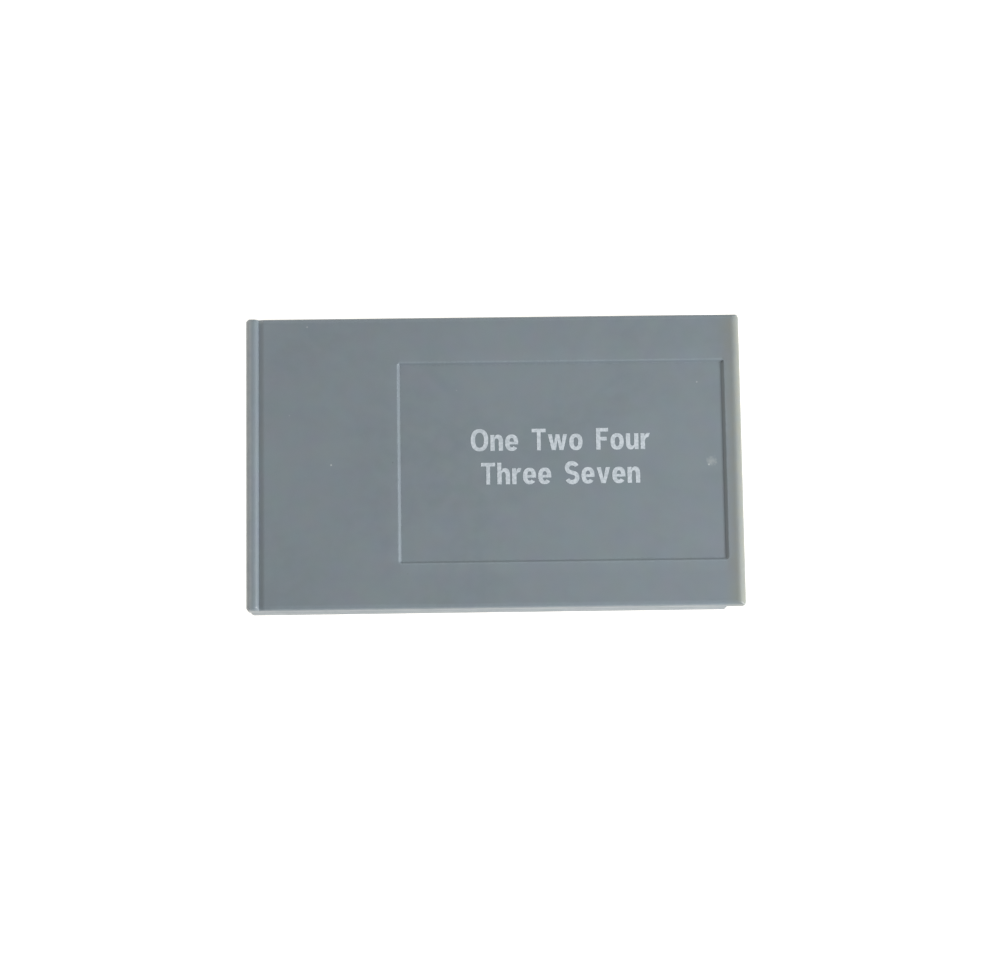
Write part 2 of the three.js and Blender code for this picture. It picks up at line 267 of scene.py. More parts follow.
def together(*solids):
    """Several closed solids as the vertices and faces of one mesh."""
    vertices, faces, start = [], [], 0
    for some_vertices, some_faces in solids:
        vertices.append(np.asarray(some_vertices))
        faces += [tuple(i + start for i in face) for face in some_faces]
        start += len(some_vertices)
    return np.concatenate(vertices), faces


def drop_loose(vertices, faces):
    """The same faces without the vertices that none of them uses."""
    used = np.unique(np.concatenate([np.array(face) for face in faces]))
    place = np.full(len(vertices), -1)
    place[used] = np.arange(len(used))
    return vertices[used], [tuple(int(place[i]) for i in face) for face in faces]


def mark_edges(made):
    """Stores how far each vertex stands out as an edge, for the painted highlight on convex edges and their
    lower roughness.
    """
    mesh = made.data
    count = len(mesh.vertices)
    place, normal = np.zeros(count * 3), np.zeros(count * 3)
    mesh.vertices.foreach_get("co", place)
    mesh.vertices.foreach_get("normal", normal)
    place, normal = place.reshape(-1, 3) / MM, normal.reshape(-1, 3)
    ends = np.zeros(len(mesh.edges) * 2, int)
    mesh.edges.foreach_get("vertices", ends)
    a, b = ends.reshape(-1, 2).T
    run = place[b] - place[a]
    length = np.maximum(np.linalg.norm(run, axis=1), 1e-6)
    bend = ((normal[b] - normal[a]) * run).sum(1) / length**2
    bend = np.where(length < EDGE_STEP, bend, 0)
    total = np.zeros(count)
    np.maximum.at(total, a, bend)
    np.maximum.at(total, b, bend)
    edge = np.clip(total / FULL_BEND, 0, 1)
    mesh.attributes.new("edge", "FLOAT", "POINT").data.foreach_set("value", edge.astype(np.float32))


# ---------------------------------------------------------------- front shell


def lip_profile(u):
    """The front's height along the card: the pull lip, a faint hollow at its foot, and the flat face."""
    along = u - GRIP_X
    past = along - LIP["width"]
    lip = LIP_Z - edge_drop(along, LIP["outer_round"]) - edge_drop(LIP_CUT - past, LIP["inner_round"])
    hollow = HOLLOW["depth"] * (1 + np.cos(math.pi * np.clip(past / HOLLOW["width"], 0, 1))) / 2
    return np.where(past < 0, lip, FACE_Z - hollow)


def panel_drop(u, v):
    """How far the label panel lies under the face, with rounded edges at its rim and its foot."""
    centre = (PANEL["x0"] + PANEL["x1"]) / 2
    half_x = (PANEL["x1"] - PANEL["x0"]) / 2
    corner = PANEL["corner"]
    a = abs(u - centre) - (half_x - corner)
    b = abs(v - PANEL["y"]) - (PANEL["half_y"] - corner)
    outside = np.hypot(np.maximum(a, 0), np.maximum(b, 0)) + np.minimum(np.maximum(a, b), 0) - corner
    t = np.clip(-outside / PANEL["slope"], 0, 1)
    return PANEL["depth"] * t * t * (3 - 2 * t)


def front_top(u, v):
    """The front shell's outer height: the lip, the rounded edges and the label panel."""
    side = edge_drop(SIDE_Y - abs(v), SIDE_ROUND)
    nose = edge_drop(NOSE_X - u, NOSE_ROUND)
    return lip_profile(u) - blend_drops(side, nose) - panel_drop(u, v)


def in_tongue(u, v, clearance=0.0):
    """Whether a place lies in the ring where the front shell's tongue stands in the back shell's groove."""
    reach = TONGUE["width"] + clearance
    within = (u > INNER_X0 - reach) & (abs(v) < INNER_Y + reach) & (u < TONGUE["x1"] + clearance)
    return within & ~((u > INNER_X0) & (abs(v) < INNER_Y))


def front_underside(u, v):
    """The front shell's inner height: the rim, the tongue and the hollow."""
    edge = np.minimum(np.minimum(u - GRIP_X, NOSE_X - u), SIDE_Y - abs(v))
    rim = PARTING_Z + edge_drop(edge, RIM_ROUND)
    hollow = (u > INNER_X0) & (u < INNER_X1) & (abs(v) < INNER_Y)
    return np.where(hollow, CEILING_Z, np.where(in_tongue(u, v), TONGUE_Z, rim))


def step_at(*places):
    """A pair of grid places on each side of an upright wall."""
    return np.array([place + side * STEP for place in places for side in (-1, 1)])


def front_shell():
    lip_x = GRIP_X + LIP["width"]
    slope = np.linspace(0, PANEL["slope"], 9)
    corner = np.linspace(0, PANEL["corner"] + PANEL_CORNER_EASE, 9)
    u_places = lines(
        GRIP_X,
        NOSE_X,
        quarter(GRIP_X, GRIP_X + LIP["outer_round"], 8),
        lip_x - np.linspace(0, LIP["inner_round"] - LIP_CUT, 10),
        lip_x + np.linspace(0, HOLLOW["width"], 9),
        quarter(GRIP_X, GRIP_X + RIM_ROUND, 3),
        quarter(NOSE_X, NOSE_X - RIM_ROUND, 3),
        PANEL["x0"] + slope,
        PANEL["x0"] + corner,
        [PANEL["x0"] - FRONT_EASE, PANEL["x1"] + FRONT_EASE],
        PANEL["x1"] - slope,
        PANEL["x1"] - corner,
        quarter(NOSE_X, NOSE_X - NOSE_ROUND, 12),
        [NOSE_X - NOSE_ROUND - FRONT_EASE],
        step_at(INNER_X0, INNER_X1, INNER_X0 - TONGUE["width"], TONGUE["x1"]),
    )
    half_v = np.concatenate(
        [
            quarter(SIDE_Y, SIDE_Y - SIDE_ROUND, 8),
            [SIDE_Y - SIDE_ROUND - FRONT_EASE],
            quarter(SIDE_Y, SIDE_Y - RIM_ROUND, 3),
            step_at(INNER_Y, INNER_Y + TONGUE["width"]),
        ]
    )
    half_y = PANEL["half_y"]
    panel_v = np.concatenate([half_y - slope, half_y - corner, [half_y + FRONT_EASE]])
    v_places = lines(-SIDE_Y, SIDE_Y, both(half_v), PANEL["y"] + both(panel_v))

    def plan(u, v):
        return round_corners(u, v, GRIP_X, NOSE_X, SIDE_Y, CORNER_ROUND, CORNER_ROUND)

    plate = two_sided(u_places, v_places, plan, front_top, front_underside)
    boss = [
        (0, BOSS["bore_top_z"]),
        (BOSS["bore_r"], BOSS["bore_top_z"]),
        (BOSS["bore_r"], BOSS["foot_z"]),
        (BOSS["r"], BOSS["foot_z"]),
        (BOSS["r"], BOSS["top_z"]),
        (0, BOSS["top_z"]),
    ]
    bosses = [turned(boss, x, y, TURNED_SIDES) for x, y in SCREW_PLACES]
    return mesh_object("front_case", *together(plate, *bosses))


# ---------------------------------------------------------------- back shell


def nearest_screw(u, v):
    """Offsets from the nearest screw, and the larger of the two: a square ring's size."""
    a = np.full(u.shape, FAR)
    b = np.full(u.shape, FAR)
    for x, y in SCREW_PLACES:
        nearer = np.maximum(abs(u - x), abs(v - y)) < np.maximum(abs(a), abs(b))
        a, b = np.where(nearer, u - x, a), np.where(nearer, v - y, b)
    return a, b, np.maximum(abs(a), abs(b))


def back_plan(u, v):
    """The back's outline, and round screw recesses out of the square rings of the grid."""
    x, y = round_corners(u, v, BACK_LOW[0], BACK_HIGH[0], SIDE_Y, BACK_CORNER_ROUND, CORNER_ROUND)
    a, b, ring = nearest_screw(u, v)
    disc_a, disc_b = square_to_disc(a, b)
    rounded = np.clip((TOWER_R - ring) / (TOWER_R - COUNTERBORE["r"] - COUNTERBORE["edge"]), 0, 1)
    return x + rounded * (disc_a - a), y + rounded * (disc_b - b)


def back_top(u, v):
    """The back shell's inner height: the rim, the groove, the hollows and the screw towers."""
    edge = np.minimum(np.minimum(u - BACK_LOW[0], BACK_HIGH[0] - u), SIDE_Y - abs(v))
    rim = BACK_TOP_Z - edge_drop(edge, RIM_ROUND)
    cheek = BAY["half_y"] + BAY["wall"]
    hollow = (u > INNER_X0) & (u < BAY["x0"] - BAY["wall"]) & (abs(v) < INNER_Y)
    hollow |= (u > 0) & (u < BACK_HIGH[0] - WALL) & (abs(v) > cheek) & (abs(v) < INNER_Y)
    groove_z = TONGUE_Z - TONGUE["clearance"] - (PARTING_Z - BACK_TOP_Z)
    floor = np.where(hollow, WALL, np.where(in_tongue(u, v, TONGUE["clearance"]), groove_z, rim))
    ring = nearest_screw(u, v)[2]
    return np.where(ring < TOWER_R, TOWER_Z, floor)


def back_bottom(u, v):
    """The back shell's outer height: the rounded edges, the bay's rim and the screw recesses."""
    edge = blend_drops(
        edge_drop(u - BACK_LOW[0], BACK_ROUND),
        edge_drop(BACK_HIGH[0] - u, BACK_ROUND),
        edge_drop(SIDE_Y - abs(v), BACK_ROUND),
    )
    to_bay = np.hypot(np.maximum(BAY["x0"] - u, 0), np.maximum(abs(v) - BAY["half_y"], 0))
    bay = edge_drop(to_bay, BAY["round"])
    ring = nearest_screw(u, v)[2]
    rim = edge_drop(ring - COUNTERBORE["r"], COUNTERBORE["edge"])
    return np.where(ring < COUNTERBORE["r"], SCREW_SEAT_Z, blend_drops(edge, bay, rim))


def back_shell():
    radius, edge = COUNTERBORE["r"], COUNTERBORE["edge"]
    rings = np.concatenate(
        [
            np.linspace(-SCREW_HOLE_R, SCREW_HOLE_R, 9),
            both(np.linspace(SCREW_HOLE_R, radius - STEP, 3)),
            both(quarter(radius + STEP, radius + edge, 4)),
            both([radius + edge + BACK_EASE]),
            both([TOWER_R - STEP, TOWER_R + STEP]),
        ]
    )
    bay_round = quarter(0, BAY["round"], 4)
    groove = TONGUE["width"] + TONGUE["clearance"]
    u_places = lines(
        BACK_LOW[0],
        BACK_HIGH[0],
        quarter(BACK_LOW[0], BACK_LOW[0] + BACK_ROUND, 6),
        quarter(BACK_HIGH[0], BACK_HIGH[0] - BACK_ROUND, 6),
        quarter(BACK_LOW[0], BACK_LOW[0] + RIM_ROUND, 3),
        quarter(BACK_HIGH[0], BACK_HIGH[0] - RIM_ROUND, 3),
        BAY["x0"] - bay_round,
        [BAY["x0"] - BAY["round"] - BACK_EASE],
        step_at(INNER_X0, INNER_X0 - groove, BAY["x0"] - BAY["wall"], BACK_HIGH[0] - WALL),
        step_at(TONGUE["x1"] + TONGUE["clearance"]),
        *[x + rings for x in sorted({round(float(x), 3) for x, _ in SCREW_PLACES})],
    )
    half_v = np.concatenate(
        [
            quarter(SIDE_Y, SIDE_Y - BACK_ROUND, 6),
            quarter(SIDE_Y, SIDE_Y - RIM_ROUND, 3),
            BAY["half_y"] + bay_round,
            [BAY["half_y"] + BAY["round"] + BACK_EASE],
            step_at(BAY["half_y"] + BAY["wall"], INNER_Y, INNER_Y + groove),
            *[y + rings for y in sorted({round(abs(float(y)), 3) for _, y in SCREW_PLACES})],
        ]
    )
    v_places = lines(-SIDE_Y, SIDE_Y, both(half_v))

    def keep(u, v):
        in_bay = (u > BAY["x0"]) & (abs(v) < BAY["half_y"])
        return ~in_bay & (nearest_screw(u, v)[2] > SCREW_HOLE_R)

    plate = two_sided(u_places, v_places, back_plan, back_top, back_bottom, keep)
    return mesh_object("back_case", *drop_loose(*plate))


# ---------------------------------------------------------------- screws


def fade(value, run, end):
    """One where the value is small, falling over the given run to nothing at its end."""
    return np.clip((end - value) / run, 0, 1)


def screw(name, x, y):
    """A pan-head screw, head down: a domed disc with a cross recess, and a ribbed shank above it."""
    head_height = SCREW_SEAT_Z - SCREW_HEAD_Z
    square = np.linspace(-HEAD["square_half"], HEAD["square_half"], 37)
    places = np.unique(np.round(np.concatenate([square, both(HEAD_RINGS)]), 4))

    def plan(u, v):
        ring = np.maximum(abs(u), abs(v))
        a, b = square_to_disc(u, v)
        share = np.clip((ring - HEAD["square_half"]) / HEAD["ease"], 0, 1)
        return x + u + share * (a - u), y + v + share * (b - v)

    def arm(across, along):
        sides = fade(abs(across), CROSS["side_slope"], CROSS["half_width"])
        return sides * fade(abs(along), CROSS["end_slope"], CROSS["half_length"])

    def face(u, v):
        px, py = plan(u, v)
        far = np.clip(np.hypot(px - x, py - y) / SCREW_HEAD_R, 0, 1)
        dome = HEAD["dome"] * (1 - np.sqrt(np.clip(1 - far ** HEAD["dome_power"], 0, 1)))
        recess = CROSS["depth"] * np.maximum(arm(u, v), arm(v, u))
        return SCREW_HEAD_Z + head_height * (dome + recess)

    def seat(u, v):
        return np.full(u.shape, SCREW_SEAT_Z)

    head = two_sided(places, places, plan, seat, face)
    shank_z = SCREW_SEAT_Z - SHANK["overlap"]
    tip_z = SCREW_TIP_Z - SHANK["tip_length"]
    shank = [(0, shank_z), (SHANK["neck_r"], shank_z)]
    for z in np.arange(SCREW_SEAT_Z + SHANK["first_thread"], tip_z, THREAD["pitch"]):
        shank += [
            (THREAD["root_r"], z),
            (SCREW_SHANK_R, z + THREAD["crest_from"]),
            (SCREW_SHANK_R, z + THREAD["crest_to"]),
            (THREAD["root_r"], z + THREAD["end"]),
        ]
    shank += [(SHANK["end_r"], tip_z), (SHANK["tip_r"], SCREW_TIP_Z), (0, SCREW_TIP_Z)]
    return mesh_object(name, *together(head, turned(shank, x, y, TURNED_SIDES)))


# ---------------------------------------------------------------- print in the label panel

# A bold condensed alphabet of this card's own, with only the letters that it prints. A capital is 1 high.
SMALL = 0.735  # the height of a small letter
STEM = 0.2
BAR = 0.165
GAP = 0.095  # between letters
WORD_GAP = 0.62
OVERSHOOT = 0.015  # how far a round letter reaches past a flat one
ARCH = 0.235  # half the width of the round part of an n
LEGEND = {
    "lines": (("One Two Four", 1.34), ("Three Seven", -3.01)),
    "centre_x": 8.4,
    "cap_height": 2.8,
    "ink": 0.02,
}


def bow(x, y, half_width, half_height, start, end, steps, power=2.35):
    """Points along a squarish ellipse, from one angle to another, in degrees."""
    turns = np.radians(np.linspace(start, end, steps + 1))
    c, s = np.cos(turns), np.sin(turns)
    px = x + half_width * np.sign(c) * abs(c) ** (2 / power)
    py = y + half_height * np.sign(s) * abs(s) ** (2 / power)
    return list(zip(px, py))


def ring_letter(width, height):
    """A capital or a small o."""
    x, y = width / 2, height / 2
    half_height = y + OVERSHOOT
    outer = bow(x, y, x, half_height, 0, 360, 48)[:-1]
    inner = bow(x, y, x - STEM, half_height - BAR, 0, 360, 48)[:-1]
    return [outer, inner], width


def letter_n(stem_height=SMALL, width=0.58):
    """An n, or an h where its stem is as high as a capital."""
    middle = width / 2
    shoulder = SMALL * 0.58
    inner = bow(middle, shoulder, middle - STEM, SMALL - BAR - shoulder, 180, 0, 12)
    outer = bow(width - ARCH, shoulder, ARCH, SMALL + OVERSHOOT - shoulder, 0, 90, 10)
    notch = [(0.25, SMALL - 0.01), (STEM - 0.01, SMALL - 0.115)]
    outline = [(0, 0), (STEM, 0), *inner, (width - STEM, 0), (width, 0), *outer, *notch]
    return [[*outline, (STEM - 0.01, stem_height), (0, stem_height)]], width


def letter_u():
    """An n turned upside down."""
    (outline,), width = letter_n()
    return [[(width - x, SMALL - y) for x, y in outline]], width


def letter_r(width=0.4):
    """A small r."""
    inner = bow(width, SMALL * 0.5, width - STEM, SMALL * 0.5 - BAR - 0.01, 180, 98, 6)
    outer = [(width + 0.035, SMALL + 0.005), (0.3, SMALL + 0.012), (0.22, SMALL - 0.045)]
    root = [(STEM - 0.01, SMALL - 0.14), (STEM - 0.01, SMALL), (0, SMALL)]
    return [[(0, 0), (STEM, 0), *inner, *outer, *root]], width


def letter_e(width=0.6):
    """A small e: its outline, open at the right, and its counter."""
    x, y = width / 2, SMALL / 2
    low, high = y - 0.075, y + 0.045
    outer_half = y + OVERSHOOT
    inner_half = outer_half - BAR
    around = bow(x, y, x, outer_half, 8, 322, 36)
    back = bow(x, y, x - STEM, inner_half, 316, 198, 15)
    outline = [(width, low), *around, *back, (STEM, low)]
    over = bow(x, y, x - STEM, inner_half, 168, 12, 16)
    counter = [(STEM + 0.01, high), *over, (width - STEM - 0.01, high)]
    return [outline, counter], width


def stroke(points, half_widths):
    """The outline of a line of varying width through the given points."""
    middle = np.array(points)
    run = np.gradient(middle, axis=0)
    side = np.stack([-run[:, 1], run[:, 0]], -1) / np.linalg.norm(run, axis=1)[:, None]
    side *= np.array(half_widths)[:, None]
    return [tuple(p) for p in np.concatenate([middle + side, (middle - side)[::-1]])]


def letter_s(width=0.66):
    """A capital S, drawn as one stroke."""
    half = width / 2 - STEM / 2
    upper = bow(width / 2, 0.72, half, 0.215, 22, 252, 22, 2.1)
    lower = bow(width / 2, 0.285, half, 0.22, 72, -158, 22, 2.1)
    points = upper[:-2] + lower[2:]
    lean = np.linspace(0, 1, len(points))
    widths = STEM / 2 - 0.006 * np.cos(lean * 4 * math.pi)
    return [stroke(points, widths)], width


def letter_f(width=0.56, arm_y=0.42, arm_x=0.49):
    """A capital F."""
    arm = [(STEM, arm_y), (arm_x, arm_y), (arm_x, arm_y + BAR), (STEM, arm_y + BAR)]
    top = [(STEM, 1 - BAR), (width, 1 - BAR), (width, 1), (0, 1)]
    return [[(0, 0), (STEM, 0), *arm, *top]], width


def mirrored(half_outline, width):
    """A letter that is the same on both sides, from its left half's outline."""
    return [[*half_outline, *((width - x, y) for x, y in reversed(half_outline))]], width


LETTERS = {
    "O": ring_letter(0.8, 1.0),
    "o": ring_letter(0.61, SMALL),
    "n": letter_n(),
    "h": letter_n(1.0),
    "u": letter_u(),
    "r": letter_r(),
    "e": letter_e(),
    "S": letter_s(),
    "T": mirrored([(0, 1), (0, 1 - BAR), (0.235, 1 - BAR), (0.235, 0)], 0.645),
    "v": mirrored([(0.31, 0.22), (0.2, SMALL), (0, SMALL), (0.21, 0)], 0.62),
    "w": mirrored(
        [(0.44, 0.46), (0.36, 0), (0.17, 0), (0, SMALL), (0.185, SMALL), (0.272, 0.27), (0.35, SMALL)],
        0.88,
    ),
    "F": letter_f(),
}


def print_line(text):
    """The outlines of a line of print, and its width, in capital heights."""
    outlines, x = [], 0.0
    for letter in text:
        if letter == " ":
            x += WORD_GAP - GAP
            continue
        contours, width = LETTERS[letter]
        outlines += [[(x + px, py) for px, py in contour] for contour in contours]
        x += width + GAP
    return outlines, x - GAP


def legend():
    """The two lines of print, as a thin layer of ink on the panel's floor."""
    curve = bpy.data.curves.new("legend", "CURVE")
    curve.dimensions = "2D"
    curve.fill_mode = "BOTH"
    curve.extrude = LEGEND["ink"] * MM
    for text, baseline in LEGEND["lines"]:
        outlines, width = print_line(text)
        for outline in outlines:
            spline = curve.splines.new("POLY")
            spline.use_cyclic_u = True
            spline.points.add(len(outline) - 1)
            for point, (px, py) in zip(spline.points, outline):
                x = LEGEND["centre_x"] + (px - width / 2) * LEGEND["cap_height"]
                y = baseline + py * LEGEND["cap_height"]
                point.co = (x * MM, y * MM, 0, 1)
    holder = bpy.data.objects.new("legend_curve", curve)
    bpy.context.scene.collection.objects.link(holder)
    bpy.context.view_layer.update()
    mesh = bpy.data.meshes.new_from_object(holder)
    bpy.data.objects.remove(holder)
    made = bpy.data.objects.new("legend", mesh)
    made.data.transform(Matrix.Translation((0, 0, PANEL_FLOOR_Z * MM)))
    bpy.context.scene.collection.objects.link(made)
    return made


# ---------------------------------------------------------------- materials

# The sockets of a Mix node that hold colours.
MIX_A, MIX_B, MIX_RESULT = 6, 7, 2


class Nodes:
    """Short names for building a node material."""

    def __init__(self, name):
        self.material = bpy.data.materials.new(name)
        self.material.use_nodes = True
        self.tree = self.material.node_tree
        self.shader = self.tree.nodes["Principled BSDF"]

    def node(self, kind, settings=None, **inputs):
        """A new node with the given settings, and with its named inputs linked or set."""
        made = self.tree.nodes.new(kind)
        for key, value in (settings or {}).items():
            setattr(made, key, value)
        for key, value in inputs.items():
            self.put(made.inputs[key.replace("_", " ")], value)
        return made

    def put(self, socket, value):
        """Links a socket to another, or gives it a plain value."""
        if isinstance(value, bpy.types.NodeSocket):
            self.tree.links.new(value, socket)
        else:
            socket.default_value = value

    def set(self, name, value):
        self.put(self.shader.inputs[name], value)

    def place(self):
        return self.node("ShaderNodeTexCoord").outputs["Object"]

    def noise(self, scale, detail, vector, roughness=0.5):
        """Noise from 0 to 1, with about the given number of blobs to a metre."""
        settings = {"Scale": scale, "Detail": detail, "Roughness": roughness, "Vector": vector}
        return self.node("ShaderNodeTexNoise", **settings).outputs["Fac"]

    def math(self, operation, a, b=0.0):
        made = self.node("ShaderNodeMath", {"operation": operation})
        self.put(made.inputs[0], a)
        self.put(made.inputs[1], b)
        return made.outputs[0]

    def between(self, value, low, high, out_low=0.0, out_high=1.0):
        """A smooth step from one output to the other as the value goes from low to high."""
        made = self.node("ShaderNodeMapRange", {"interpolation_type": "SMOOTHSTEP"}, Value=value)
        made.inputs["From Min"].default_value = low
        made.inputs["From Max"].default_value = high
        made.inputs["To Min"].default_value = out_low
        made.inputs["To Max"].default_value = out_high
        return made.outputs["Result"]

    def distance(self, place, x, y, z):
        """How far each place lies from a point given in millimetres."""
        made = self.node("ShaderNodeVectorMath", {"operation": "DISTANCE"}, Vector=place)
        made.inputs[1].default_value = (x * MM, y * MM, z * MM)
        return made.outputs["Value"]

    def mix(self, share, a, b, blend="MIX"):
        made = self.node("ShaderNodeMix", {"data_type": "RGBA", "blend_type": blend}, Factor=share)
        self.put(made.inputs[MIX_A], a)
        self.put(made.inputs[MIX_B], b)
        return made.outputs[MIX_RESULT]

    def hue_drift(self, colour, scale, amount, vector):
        """The colour with each channel drifting on its own, by up to the given share."""
        noise = self.node("ShaderNodeTexNoise", Scale=scale, Detail=2.0, Vector=vector).outputs["Color"]
        gain = self.node("ShaderNodeVectorMath", {"operation": "MULTIPLY_ADD"}, Vector=noise)
        gain.inputs[1].default_value = (2 * amount,) * 3
        gain.inputs[2].default_value = (1 - amount,) * 3
        return self.mix(1.0, colour, gain.outputs["Vector"], "MULTIPLY")

    def bump(self, height, strength, distance_mm, normal=None):
        made = self.node("ShaderNodeBump", Strength=strength, Distance=distance_mm * MM, Height=height)
        if normal is not None:
            self.put(made.inputs["Normal"], normal)
        return made.outputs["Normal"]


def rgb(r, g, b):
    return (r, g, b, 1.0)


def tint(colour, gain):
    return rgb(*[channel * gain for channel in colour])


SHELL_GREY = (0.177, 0.213, 0.239)
HUE_DRIFT = 0.06
# Small specks in the plastic. A cell of the pattern holds one where its random number is over "from".
SPECKS = {"scale": 420.0, "core": 0.02, "rim": 0.06}
PALE_SPECK = {"from": 0.95, "share": 0.5, "colour": (0.45, 0.48, 0.5)}
DARK_SPECK = {"from": 0.93, "share": 0.4, "colour": (0.08, 0.09, 0.1)}
# One scuffed place in the label panel, with a ragged rim, and small pale dents.
SCUFF = {
    "x": 27.75,
    "y": -0.3,
    "core_r": 0.6,
    "r": 1.45,
    "ragged": 1.2,
    "share": 0.27,
    "colour": (0.53, 0.56, 0.54),
}
NICKS = ((27.41, -0.76, PANEL_FLOOR_Z), (-20.9, -0.3, FACE_Z))
NICK = {"r": 0.17, "share": 0.65, "colour": (0.58, 0.63, 0.63)}
# Painted light at the card's two ends, each from the place where it begins to where it is full: a painted
# highlight on the lip's outer shoulder, a painted warm bounce light over the nose, and a painted highlight
# on the nose's round.
LIP_SHOULDER_HIGHLIGHT = {"from": GRIP_X + 1.0, "to": GRIP_X + 0.2, "share": 0.7, "colour": (0.4, 0.42, 0.43)}
LIP_SHOULDER_HIGHLIGHT_Z = (LIP_Z - 1.6, LIP_Z - 0.5)  # the lip's painted highlight begins and is full at these heights
NOSE_WARM_BOUNCE = {"from": NOSE_X - 3.2, "to": NOSE_X - 1.0, "share": 0.3, "colour": (0.21, 0.197, 0.13)}
NOSE_HIGHLIGHT = {"from": NOSE_X - 1.5, "to": NOSE_X + 0.2, "share": 0.2, "colour": (0.42, 0.38, 0.19)}
# Paler convex edges are a painted highlight; they are also made a little less rough.
EDGE_HIGHLIGHT_AND_GLOSS = {"low": 0.34, "high": 0.5, "gain": 1.5, "smoother": 0.1}


def with_specks(m, place, base):
    """The colour with a few pale and dark specks."""
    cells = m.node("ShaderNodeTexVoronoi", {"feature": "F1"}, Vector=place, Scale=SPECKS["scale"])
    near = m.between(cells.outputs["Distance"], SPECKS["core"], SPECKS["rim"], 1, 0)
    chance = m.node("ShaderNodeSeparateColor", Color=cells.outputs["Color"])
    for channel, speck in enumerate((PALE_SPECK, DARK_SPECK)):
        chosen = m.math("GREATER_THAN", chance.outputs[channel], speck["from"])
        share = m.math("MULTIPLY", m.math("MULTIPLY", near, chosen), speck["share"])
        base = m.mix(share, base, rgb(*speck["colour"]))
    return base


def with_marks(m, place, base):
    """The colour with the scuff and the nicks."""
    off_scuff = m.distance(place, SCUFF["x"], SCUFF["y"], PANEL_FLOOR_Z)
    wander = m.math("MULTIPLY", m.noise(2600, 4, place), SCUFF["ragged"] * MM)
    ragged = m.math("ADD", off_scuff, wander)
    scuff = m.between(ragged, SCUFF["core_r"] * MM, SCUFF["r"] * MM, SCUFF["share"], 0)
    base = m.mix(scuff, base, rgb(*SCUFF["colour"]))
    for nick in NICKS:
        near = m.between(m.distance(place, *nick), 0, NICK["r"] * MM, NICK["share"], 0)
        base = m.mix(near, base, rgb(*NICK["colour"]))
    return base


def with_painted_end_light(m, place, base):
    """The colour with painted light: a painted highlight on the pull lip's outer shoulder, and a painted
    warm bounce light and painted highlight on the nose.
    """
    split = m.node("ShaderNodeSeparateXYZ", Vector=place)
    low, high = LIP_SHOULDER_HIGHLIGHT_Z
    upper = m.between(split.outputs["Z"], low * MM, high * MM)
    blotch = m.between(m.noise(900, 4, place), 0.3, 0.7, 0.75, 1.1)
    # Each is painted light: the lip's shoulder highlight, the nose's warm bounce light and the nose's
    # highlight.
    for lit_end, where in ((LIP_SHOULDER_HIGHLIGHT, upper), (NOSE_WARM_BOUNCE, 1.0), (NOSE_HIGHLIGHT, 1.0)):
        share = m.between(split.outputs["X"], lit_end["from"] * MM, lit_end["to"] * MM, 0, lit_end["share"])
        share = m.math("MULTIPLY", m.math("MULTIPLY", share, where), blotch)
        base = m.mix(share, base, rgb(*lit_end["colour"]))
    return base


def shell_plastic():
    """Slate-grey moulded plastic: a satin grain, faint mottling, a few specks, painted light at the lip and
    the nose, and paler edges that are a painted highlight.
    """
    m = Nodes("shell_plastic")
    place = m.place()
    cloud = m.noise(90, 3, place)
    patch = m.noise(700, 2, place)
    grain = m.noise(7000, 2, place)
    base = m.mix(m.between(cloud, 0.35, 0.65), tint(SHELL_GREY, 0.97), tint(SHELL_GREY, 1.03))
    base = m.mix(m.between(patch, 0.3, 0.7, 0, 0.5), base, tint(SHELL_GREY, 1.05))
    base = m.hue_drift(base, 330.0, HUE_DRIFT, place)
    base = with_specks(m, place, base)
    base = with_marks(m, place, base)
    base = with_painted_end_light(m, place, base)

    # Painted highlight: convex edges are paler, by a share that varies with noise.
    edge = m.node("ShaderNodeAttribute", {"attribute_name": "edge"}).outputs["Fac"]
    uneven = m.between(m.noise(1500, 4, place), 0.35, 0.7, EDGE_HIGHLIGHT_AND_GLOSS["low"], EDGE_HIGHLIGHT_AND_GLOSS["high"])
    base = m.mix(m.math("MULTIPLY", edge, uneven), base, tint(SHELL_GREY, EDGE_HIGHLIGHT_AND_GLOSS["gain"]))
    m.set("Base Color", base)

    rubbed = m.between(m.noise(260, 4, place), 0.3, 0.7, 0.45, 0.54)
    m.set("Roughness", m.math("SUBTRACT", rubbed, m.math("MULTIPLY", edge, EDGE_HIGHLIGHT_AND_GLOSS["smoother"])))
    m.set("Specular IOR Level", 0.45)
    wave = m.bump(cloud, 0.15, 0.05)
    m.set("Normal", m.bump(grain, 0.35, 0.012, wave))
    return m.material


INK_THIN = (0.42, 0.475, 0.52)
INK_FULL = (0.535, 0.59, 0.64)


def legend_ink():
    """Pad-printed ink, thin enough that the plastic's grain shows through it in places."""
    m = Nodes("legend_ink")
    place = m.place()
    cover = m.between(m.noise(3200, 4, place, 0.6), 0.38, 0.62)
    m.set("Base Color", m.mix(cover, rgb(*INK_THIN), rgb(*INK_FULL)))
    m.set("Roughness", m.between(m.noise(1800, 3, place), 0.3, 0.7, 0.5, 0.65))
    m.set("Normal", m.bump(m.noise(6000, 3, place), 0.3, 0.01))
    return m.material


MASK_DARK = (0.008, 0.075, 0.03)
MASK_LIGHT = (0.014, 0.11, 0.045)
MASK_OVER_COPPER = (0.02, 0.17, 0.06)
MASK_OVER_WEAVE = (0.02, 0.13, 0.05)


